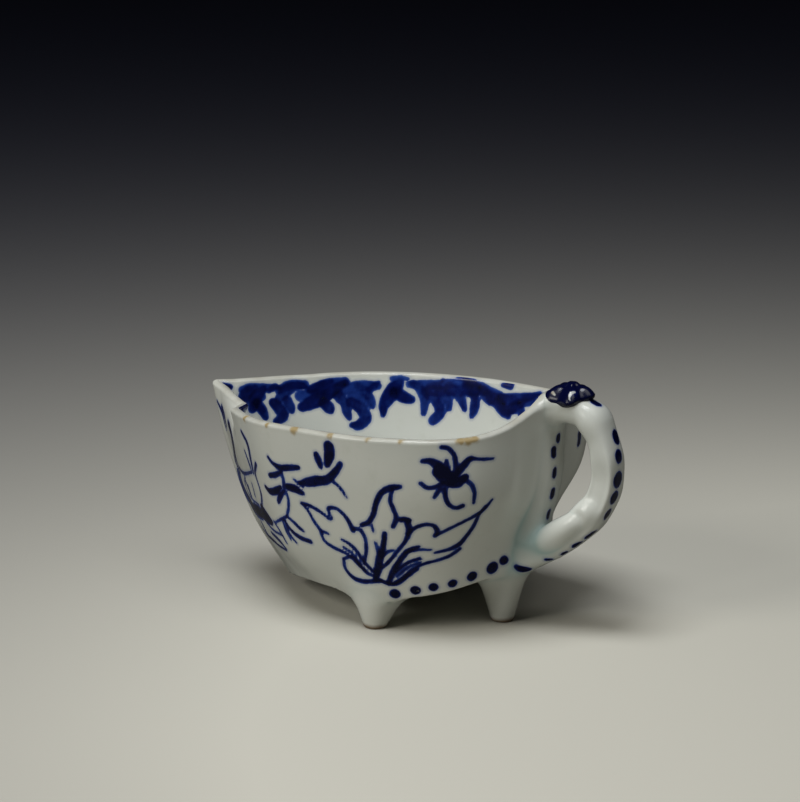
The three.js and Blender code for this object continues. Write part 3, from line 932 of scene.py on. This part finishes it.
# %% The border inside
border = [
    (1, -47.8, 42.1, 0.6, -45.4, 41.6, 0.65),
    (0.8, -43, 38.1, 1.14, -42.5, 40.2, 1.24, -41.4, 41.2, 0.65),
    (0.9, -41.3, 36.8, 1, -41, 39.1, 1.39, -40.1, 40.7, 0.75),
    (0.9, -40.7, 37.9, 0.9, -39.7, 36.1, 1, -39.1, 34.7, 0.6),
    (1, -38.3, 37.7, 0.9, -37.2, 36.3, 1.2, -36.5, 34.6, 1.15, -37.3, 33.7, 0.75),
    (0.8, -39.2, 40.3, 0.5, -38.4, 41, 0.7, -37.7, 40.7, 0.35),
    (0.85, -37.5, 38.3, 0.95, -36.6, 40, 1.25, -35.3, 40.9, 1, -33.7, 40.8, 0.6),
    (0.85, -36.2, 37.9, 1, -35.5, 36.4, 0.9, -35.2, 35.6, 0.5),
    (1, -33.6, 36.4, 1, -32.2, 37.2, 1.45, -30.4, 38.3, 1.5, -28.6, 39.8, 1.15, -26.8, 41.2, 0.6),
    (0.8, -32.7, 40.1, 0.85, -31.1, 40.8, 0.9, -29.3, 41.7, 0.55),
    (1, -30.1, 37.1, 1.15, -29.1, 35.9, 1.1, -28.7, 35.3, 0.6),
    (0.75, -27.9, 38.7, 1.15, -26.5, 36.9, 1, -25.8, 34.7, 0.85, -25.3, 33.6, 0.45),
    (0.9, -25.5, 37.1, 0.95, -23.5, 35.6, 1.2, -22.4, 33.5, 1.2, -23.5, 32.1, 1.05,
     -24.6, 32.1, 0.6),
    (0.65, -24.4, 40.6, 0.7, -22.9, 39.1, 1, -21.7, 37.1, 0.85, -21.4, 36, 0.5),
    (0.65, -22.2, 39.5, 0.7, -21.2, 40.7, 0.65, -20.6, 41.3, 0.3),
    (1, -19.1, 34.3, 0.5, -19.2, 36.1, 1, -18.4, 38.1, 1.5, -17.2, 40.2, 1.5, -16.3, 41.4, 0.85),
    (1, -17.1, 39.2, 1.25, -15.1, 38.2, 1.2, -13.7, 37.8, 0.85),
    (0.6, -13.7, 41.3, 0.7, -11.9, 40.2, 1, -10.8, 38, 1, -10.7, 35, 0.55),
    (0.75, -10.6, 39.5, 0.95, -8.1, 37.8, 1.1, -7.1, 35.4, 1.15, -8.5, 33.6, 0.95),
    (0.6, -9.9, 40.9, 0.7, -8, 41.6, 0.6, -6.9, 42.6, 0.3),
    (0.65, -7.3, 39.8, 1.25, -5.6, 38.3, 1.05, -5.1, 36.5, 0.6),
    (0.7, -5.3, 40.9, 1.39, -3, 39.5, 1.19, -1.5, 36.7, 0.55),
    (0.8, -1.6, 41.3, 1.24, 0.7, 39.5, 0.99, 0.8, 37.1, 0.99, 0.3, 35.3, 0.5),
    (0.6, -2.4, 43, 0.55, -0.1, 42.6, 0.74, 1.6, 41.8, 0.64),
    (0.7, 1.7, 41.6, 0.74, 3.3, 40.3, 1.24, 4.4, 39, 0.84),
    (0.8, 4.1, 40.4, 1.14, 6.6, 39, 1.48, 8.1, 37.5, 1.28, 9.3, 36.6, 0.69),
    (0.65, 7.1, 39.8, 1.14, 10.6, 40.3, 1.23, 13.5, 41.1, 0.93, 16.5, 42, 0.54, 18.4, 42.3, 0.24),
    (0.8, 10.4, 38.3, 1.23, 11.8, 39, 1.18, 12.7, 37.6, 0.88, 13.1, 36.2, 0.44),
    (0.6, 12.5, 39.8, 0.98, 15.4, 40.5, 0.69, 17.4, 41, 0.29),
    (1, 7.3, 42.9, 0.39, 9.2, 43.1, 0.94),
    (0.55, -43.3, 40.9, 0.76, -42.2, 41.2, 0.87, -40.3, 41, 0.87, -38.8, 40.8, 0.76),
    (0.6, -37.7, 40.3, 0.87, -36.1, 41.2, 0.98, -33.6, 41.1, 0.87),
    (0.5, -32.3, 39.9, 0.98, -30.3, 41.1, 0.98, -26.8, 41.4, 0.98),
    (0.5, -26.7, 39.7, 1.09, -24.8, 40.3, 1.2, -23, 40.5, 1.09, -20.7, 40.5, 0.76),
    (0.35, -14.2, 41.1, 0.76, -11, 41.1, 0.98, -7.7, 41.4, 0.98, -4.3, 42.1, 0.87, -0.7, 42, 0.97),
    (0.45, -10.9, 40, 0.98, -7.5, 40.1, 1.19, -4.1, 40.4, 1.3, -0.6, 40.9, 1.19, 3, 41.1, 0.97),
    (0.35, -0.8, 42.2, 0.76, 1.7, 41.8, 1.08, 4.2, 41, 1.08, 6.8, 40.5, 0.97),
    (0.4, 6.9, 40.3, 0.86, 10, 40.1, 0.97, 13.3, 41, 0.86, 17.2, 42.4, 0.53),
    (0.6, 6.2, 39.1, 0.97, 8.4, 37.7, 1.18, 10.2, 38.2, 1.07),
    (0.45, -34.2, 38.8, 1.09, -31.3, 39, 0.98, -27.8, 39.1, 0.87),
    (0.5, -40.1, 39.1, 0.76, -41, 37.7, 0.87, -39.8, 36.3, 0.65),
    (0.45, -25.3, 38.4, 0.98, -23.5, 37.9, 1.09, -22.3, 36.6, 0.76),
    (0.3, -18, 42.1, 0.44, -16.4, 42.4, 0.44, -14.7, 42.2, 0.33),
    (0.3, -3.9, 43.1, 0.32, -2.9, 43.4, 0.32, -1.6, 43.3, 0.32),
]

# %% [markdown]
# The handle carries a row of dots down its outer ridge, and the stalk one down its middle.

# %% Dots on the handle
handle_dots = [
    (43.7, -0.2, 49.5, 0.9, 1.2), (47.8, 0.4, 42.3, 1.2, 1.55), (48.9, -0.4, 38.6, 1.2, 1.4),
    (49.3, -0.7, 33.8, 1.6, 1.7), (48.7, -1.1, 30.0, 1.35, 1.4), (47.2, -1.2, 26.4, 1.15, 1.2),
    (43.9, -2.2, 21.8, 1.0, 1.5), (41.3, -2.7, 19.1, 0.8, 1.25), (38.6, -3.2, 17.1, 0.45, 0.9),
    (35.3, -4.2, 15.2, 0.35, 1.0), (29.6, -3.9, 12.9, 0.9, 2.6),
]
stalk_dots = [
    (34.6, -0.3, 40.7, 0.7, 0.95), (34.6, -1.8, 38.0, 0.75, 1.2), (34.8, -1.5, 33.6, 0.6, 1.1),
    (34.4, -1.3, 29.2, 0.7, 1.2), (33.3, -1.0, 24.6, 0.5, 1.1),
]


def ridge_dot(x, y, z, half_width, half_length, centre):
    """A dot pressed on the ridge of the handle or stalk, longer along the ridge."""
    found = whole_boat.find_nearest(Vector((x, y, z)))[0]
    way = Vector((x - centre[0], 0, z - centre[1])).normalized()
    along = way.cross(Vector((0, 1, 0))) * (half_length - half_width)
    return 1.0, np.array([found - along, found + along]), np.array([half_width, half_width])


loop_centre = (38.5, 34)
ridge_strokes = [ridge_dot(*dot, loop_centre) for dot in handle_dots]
ridge_strokes += [ridge_dot(*dot, (dot[0] - 10, dot[2])) for dot in stalk_dots]
print(len(ridge_strokes), "dots on the handle and the stalk")

# %% [markdown]
# The flower is flooded with cobalt. What stays pale there is a crescent on the front petal,
# which is a painted highlight, and a rubbed spot on the next one, so for this piece we note
# the unpainted marks instead.

# %% Pale marks on the flower
def flower_mark(points, widths):
    line = [whole_boat.find_nearest(Vector(point))[0] for point in points]
    return 1.0, np.array(line), np.array(widths, float)


# A painted highlight: the crescent on the front petal is left pale.
painted_highlight_crescent = [
    (40.4, -3.1, 51.9), (39.8, -4.0, 51.8), (39.5, -4.6, 51.3), (39.6, -4.8, 50.5),
    (40.0, -4.6, 50.0),
]
highlight_and_rubbed_marks = [
    flower_mark(painted_highlight_crescent, (0.05, 0.15, 0.05, -0.05, -0.10)),
    flower_mark([(35.2, -3.3, 50.8), (35.8, -3.6, 50.5)], (0.15, 0.05)),
]
flower_rub = flower_mark([(35.3, -3.4, 50.7)], (0.3,))
print(len(highlight_and_rubbed_marks), "pale marks on the flower")

# %% [markdown]
# The far side of the real boat can't be seen. We give it the same twig and leaves, without
# the insect, and two marks that show through the loop of the handle.

# %% Laying every stroke
near_side = sprig + spout_flower + spout_wash + leaf_spray + insect + foot_dots
far_marks = [
    (0.9, 33.2, 38.6, 0.7, 33.0, 36.4, 0.7),
    (0.9, 29.6, 32.4, 0.6, 28.9, 30, 0.75, 28.0, 27.6, 0.6),
]
far_side = sprig + leaf_spray + foot_dots + far_marks
outside_strokes = [laid_stroke(stroke, near, False) for stroke in near_side]
outside_strokes += [laid_stroke(stroke, far, False) for stroke in far_side]
border_load = 0.65
inside_strokes = [laid_stroke(stroke, side, True) for side in (far, near) for stroke in border]
inside_strokes = [(border_load * load, line, widths) for load, line, widths in inside_strokes]
print(len(outside_strokes), "strokes outside,", len(inside_strokes), "inside")

# %% [markdown]
# ## Wear
# The glaze is rubbed through in a few places on the near rim, which shows as brown spots,
# and the soles of the feet are brown round the edge, where the bare clay took up dirt.

# %% Rubbed spots on the rim
rim_spots = [
    (-27.4, 0.6), (-19.0, 0.45), (-10.9, 0.85), (-1.4, 0.45), (7.4, 0.3), (14.2, 0.3),
    (24.6, 0.55), (25.7, 0.75), (26.8, 0.6),
]
near_stations = len(near_rim) - 1


def rim_spot(x, radius):
    """A spot on the near rim at the place x along the boat."""
    station = np.interp(x, rim_ring[:near_stations, 0], np.arange(near_stations))
    share = station / len(stations)
    middle = smooth_line(rim_ring, np.array([share]), True)[0]
    return 1.0, np.array([middle + [0, 0.2, rim_crown / 2]]), np.array([radius])


worn = [rim_spot(x, radius) for x, radius in rim_spots] + [flower_rub]
rim_top = side_row(1, wall / 2) + np.array([0, 0, rim_crown])
rim_top = np.concatenate([rim_top, rim_top[:1]])[::4]
rim_run = [(1.0, rim_top, np.full(len(rim_top), 0.9))]
print(len(worn), "worn spots")

# %% [markdown]
# Now every vertex gets its own numbers: how far it is from the paint, how much paint lies
# there, how deep the glaze pools, and where it is thin or worn. The glaze ran together most
# in the notch between the stalk, the tail of the handle and the wall.

# %% What each vertex knows
pool_notch, pool_size = np.array([32.0, -5.5, 20.5]), 7.0


def store(mesh, name, values):
    layer = mesh.attributes.new(name, "FLOAT", "POINT")
    layer.data.foreach_set("value", np.asarray(values, np.float32))


for name, mesh in meshes.items():
    points = vertex_table(mesh)
    edge, load = paint_distance(points, outside_strokes + ridge_strokes)
    if name == "bowl":
        inner_edge, inner_load = paint_distance(points, inside_strokes)
        edge = np.where(skin_inside, inner_edge, edge)
        load = np.where(skin_inside, inner_load, load)
    if name == "flower_thumb_rest":
        # On the flower the marks are left unpainted: a painted highlight and a rubbed spot.
        edge = -paint_distance(points, highlight_and_rubbed_marks)[0]
    store(mesh, "cobalt_edge", edge)
    store(mesh, "cobalt_load", load)
    from_notch = np.linalg.norm(points - pool_notch, axis=1)
    pooled = joints[name][1] * (0.25 + 0.9 * np.exp(-((from_notch / pool_size) ** 2)))
    store(mesh, "glaze_pool", np.clip(pooled / 1.2, 0, 1))
    store(mesh, "worn_edge", paint_distance(points, worn)[0])
    store(mesh, "thin_glaze", smooth_step(0.6, -0.5, paint_distance(points, rim_run)[0]))
    print(name, "painted vertices:", int((edge < 0).sum()))

# %% [markdown]
# ## Glaze and cobalt
# Two effects are used by more than one material, so each is a node group. One paints the
# cobalt: its edge wanders and bleeds a little into the glaze, thin paint is bright blue and
# thick paint nearly black. The other is the glaze itself: slightly green-blue white, bluer
# where it pools, brown where it is rubbed, with a gentle unevenness that breaks reflections.

# %% The cobalt group
def group_tree(name, inputs, outputs):
    """Starts a node group. inputs and outputs are dictionaries of socket names and kinds."""
    group = bpy.data.node_groups.new(name, "ShaderNodeTree")
    for way, sockets in (("INPUT", inputs), ("OUTPUT", outputs)):
        for label, kind in sockets.items():
            group.interface.new_socket(name=label, in_out=way, socket_type="NodeSocket" + kind)
    given = group.nodes.new("NodeGroupInput").outputs
    return group, given, group.nodes.new("NodeGroupOutput").inputs


def noise(tree, place, scale, detail=3, roughness=0.5):
    sockets = {"Vector": place, "Scale": scale, "Detail": detail, "Roughness": roughness}
    return node(tree, "ShaderNodeTexNoise", sockets).outputs["Fac"]


def swing(tree, place, scale, detail, width):
    """Noise that swings to both sides of zero."""
    centred = arithmetic(tree, "SUBTRACT", noise(tree, place, scale, detail), 0.5)
    return arithmetic(tree, "MULTIPLY", centred, width)


def spread(tree, value, low, high, new_low=0.0, new_high=1.0):
    sockets = {
        "Value": value, "From Min": low, "From Max": high, "To Min": new_low, "To Max": new_high}
    kind = "ShaderNodeMapRange"
    return node(tree, kind, sockets, interpolation_type="SMOOTHSTEP").outputs["Result"]


def colour_ramp(tree, value, stops):
    made = node(tree, "ShaderNodeValToRGB", {"Fac": value})
    elements = made.color_ramp.elements
    for _ in range(len(stops) - 2):
        elements.new(0.5)
    for element, (position, colour) in zip(elements, stops):
        element.position = position
        element.color = (*colour, 1)
    return made.outputs["Color"]


cobalt_tones = [
    (0.0, (0.060, 0.125, 0.36)), (0.40, (0.010, 0.034, 0.21)),
    (0.72, (0.002, 0.006, 0.075)), (1.0, (0.001, 0.002, 0.022)),
]
cobalt_group, given, result = group_tree(
    "cobalt_painting",
    {"Place": "Vector", "Edge": "Float", "Load": "Float"},
    {"Mask": "Float", "Colour": "Color"},
)
tree, place = cobalt_group, given["Place"]
ragged = arithmetic(tree, "ADD", given["Edge"], swing(tree, place, 900, 2, 0.30))
body = spread(tree, ragged, 0.16, -0.14)
bleed = spread(tree, ragged, 0.65, 0.0, 0.0, 0.30)
tree.links.new(arithmetic(tree, "MAXIMUM", body, bleed), result["Mask"])
depth = spread(tree, ragged, 0.15, -0.55, 0.0, 0.25)
unevenness = arithmetic(tree, "ADD", depth, swing(tree, place, 420, 3, 0.6))
laid = arithmetic(tree, "MULTIPLY", given["Load"], 0.95)
tone = arithmetic(tree, "ADD", laid, unevenness, clamp=True)
tree.links.new(colour_ramp(tree, tone, cobalt_tones), result["Colour"])

# %% The glaze group
glaze_group, given, result = group_tree(
    "porcelain_glaze",
    {"Place": "Vector", "Pool": "Float", "Worn": "Float", "Thin": "Float"},
    {"Colour": "Color", "Height": "Float", "Roughness": "Float"},
)
tree, place = glaze_group, given["Place"]
cloud = spread(tree, noise(tree, place, 38), 0.35, 0.65)
mottle = spread(tree, noise(tree, place, 260, 4, 0.6), 0.55, 0.8, 0.0, 0.35)
stain = spread(tree, noise(tree, place, 24, 2), 0.64, 0.78, 0.0, 0.35)
thin_places = spread(tree, noise(tree, place, 190), 0.3, 0.7, 0.45, 0.95)
thin = arithmetic(tree, "MULTIPLY", given["Thin"], thin_places)
pooled = arithmetic(tree, "MULTIPLY", spread(tree, given["Pool"], 0.05, 1.0), 0.8)
cells = node(tree, "ShaderNodeTexVoronoi", {"Vector": place, "Scale": 170.0}, feature="F1").outputs
speck = spread(tree, cells["Distance"], 0.085, 0.04)
draw = node(tree, "ShaderNodeSeparateColor", {"Color": cells["Color"]}).outputs[0]
chosen = arithmetic(tree, "MULTIPLY", speck, spread(tree, draw, 0.90, 0.92))
specks = arithmetic(tree, "MULTIPLY", chosen, 0.5)
sole_height = node(tree, "ShaderNodeSeparateXYZ", {"Vector": place}).outputs["Z"]
uneven_line = arithmetic(tree, "MULTIPLY", noise(tree, place, 300), 0.0009)
grime = spread(tree, arithmetic(tree, "ADD", sole_height, uneven_line), 0.0019, 0.0007, 0.0, 0.9)
frayed = arithmetic(tree, "ADD", given["Worn"], swing(tree, place, 700, 3, 1.6))
rubbed = spread(tree, frayed, 0.5, -0.35)

colour = (0.575, 0.595, 0.555, 1)
for share, layer in (
    (cloud, (0.615, 0.628, 0.582)), (mottle, (0.50, 0.52, 0.455)), (stain, (0.56, 0.50, 0.35)),
    (thin, (0.40, 0.39, 0.335)), (pooled, (0.33, 0.47, 0.46)), (specks, (0.20, 0.15, 0.09)),
    (grime, (0.17, 0.10, 0.045)), (rubbed, (0.33, 0.25, 0.12)),
):
    colour = mix_colour(tree, share, colour, (*layer, 1))
tree.links.new(colour, result["Colour"])
uneven = arithmetic(tree, "MULTIPLY", noise(tree, place, 70, 2), 0.9)
fine = arithmetic(tree, "MULTIPLY", noise(tree, place, 420), 0.10)
tree.links.new(arithmetic(tree, "ADD", uneven, fine), result["Height"])
shine = spread(tree, noise(tree, place, 120), 0.3, 0.7, 0.13, 0.24)
dull = arithmetic(tree, "MULTIPLY", rubbed, 0.4)
tree.links.new(arithmetic(tree, "ADD", shine, dull), result["Roughness"])
print("node groups:", cobalt_group.name, glaze_group.name)

# %% [markdown]
# ## The two materials
# Most pieces are white glaze with paint on it. The flower is flooded with cobalt, paler in
# scattered spots, with a crescent kept pale on its front petal as a painted highlight.

# %% Glazed porcelain
glaze_ior = 1.38


def attribute(tree, name):
    kind = "ShaderNodeAttribute"
    return node(tree, kind, attribute_name=name, attribute_type="GEOMETRY").outputs["Fac"]


def glazed_material(name, paint):
    material, tree, surface = new_material(name)
    place = node(tree, "ShaderNodeTexCoord").outputs["Object"]
    glaze = node(tree, "ShaderNodeGroup", node_tree=glaze_group)
    cobalt = node(tree, "ShaderNodeGroup", node_tree=cobalt_group)
    for group in (glaze, cobalt):
        tree.links.new(place, group.inputs["Place"])
    for socket, name in (("Pool", "glaze_pool"), ("Worn", "worn_edge"), ("Thin", "thin_glaze")):
        tree.links.new(attribute(tree, name), glaze.inputs[socket])
    paint(tree, place, cobalt)
    white, paint_layer = glaze.outputs, cobalt.outputs
    colour = mix_colour(tree, paint_layer["Mask"], white["Colour"], paint_layer["Colour"])
    tree.links.new(colour, surface.inputs["Base Color"])
    tree.links.new(white["Roughness"], surface.inputs["Roughness"])
    relief = {"Height": white["Height"], "Distance": 0.0004, "Strength": 0.6}
    bump = node(tree, "ShaderNodeBump", relief)
    tree.links.new(bump.outputs["Normal"], surface.inputs["Normal"])
    surface.inputs["IOR"].default_value = glaze_ior
    return material


def brushed(tree, place, cobalt):
    tree.links.new(attribute(tree, "cobalt_edge"), cobalt.inputs["Edge"])
    tree.links.new(attribute(tree, "cobalt_load"), cobalt.inputs["Load"])


def flooded(tree, place, cobalt):
    thin = spread(tree, noise(tree, place, 330), 0.55, 0.80, -0.9, -0.15)
    # cobalt_edge holds the flower's pale marks, one of them a painted highlight.
    edge = arithmetic(tree, "MAXIMUM", thin, attribute(tree, "cobalt_edge"))
    tree.links.new(edge, cobalt.inputs["Edge"])
    load = spread(tree, noise(tree, place, 260, 2), 0.3, 0.7, 0.75, 1.2)
    tree.links.new(load, cobalt.inputs["Load"])


white_glaze = glazed_material("painted_white_glaze", brushed)
blue_glaze = glazed_material("flooded_blue_glaze", flooded)
print("materials:", white_glaze.name, blue_glaze.name)

# %% [markdown]
# ## Standing the pieces in the frame
# Each mesh goes from millimetres to metres, becomes an object at the origin, stands in for
# the plain solid of the same name and rides on the one body, as nothing on the boat moves.

# %% Finished pieces
for name, mesh in meshes.items():
    normals = joints[name][0]
    mesh.transform(Matrix.Scale(MM, 4))
    mesh.polygons.foreach_set("use_smooth", [True] * len(mesh.polygons))
    mesh.normals_split_custom_set_from_vertices(normals.tolist())
    blue = name == "flower_thumb_rest"
    mesh.materials.append(blue_glaze if blue else white_glaze)
    piece = added(mesh.name, mesh)
    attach(piece, "root")
    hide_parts(name)
print(len(meshes), "pieces stand in the frame")
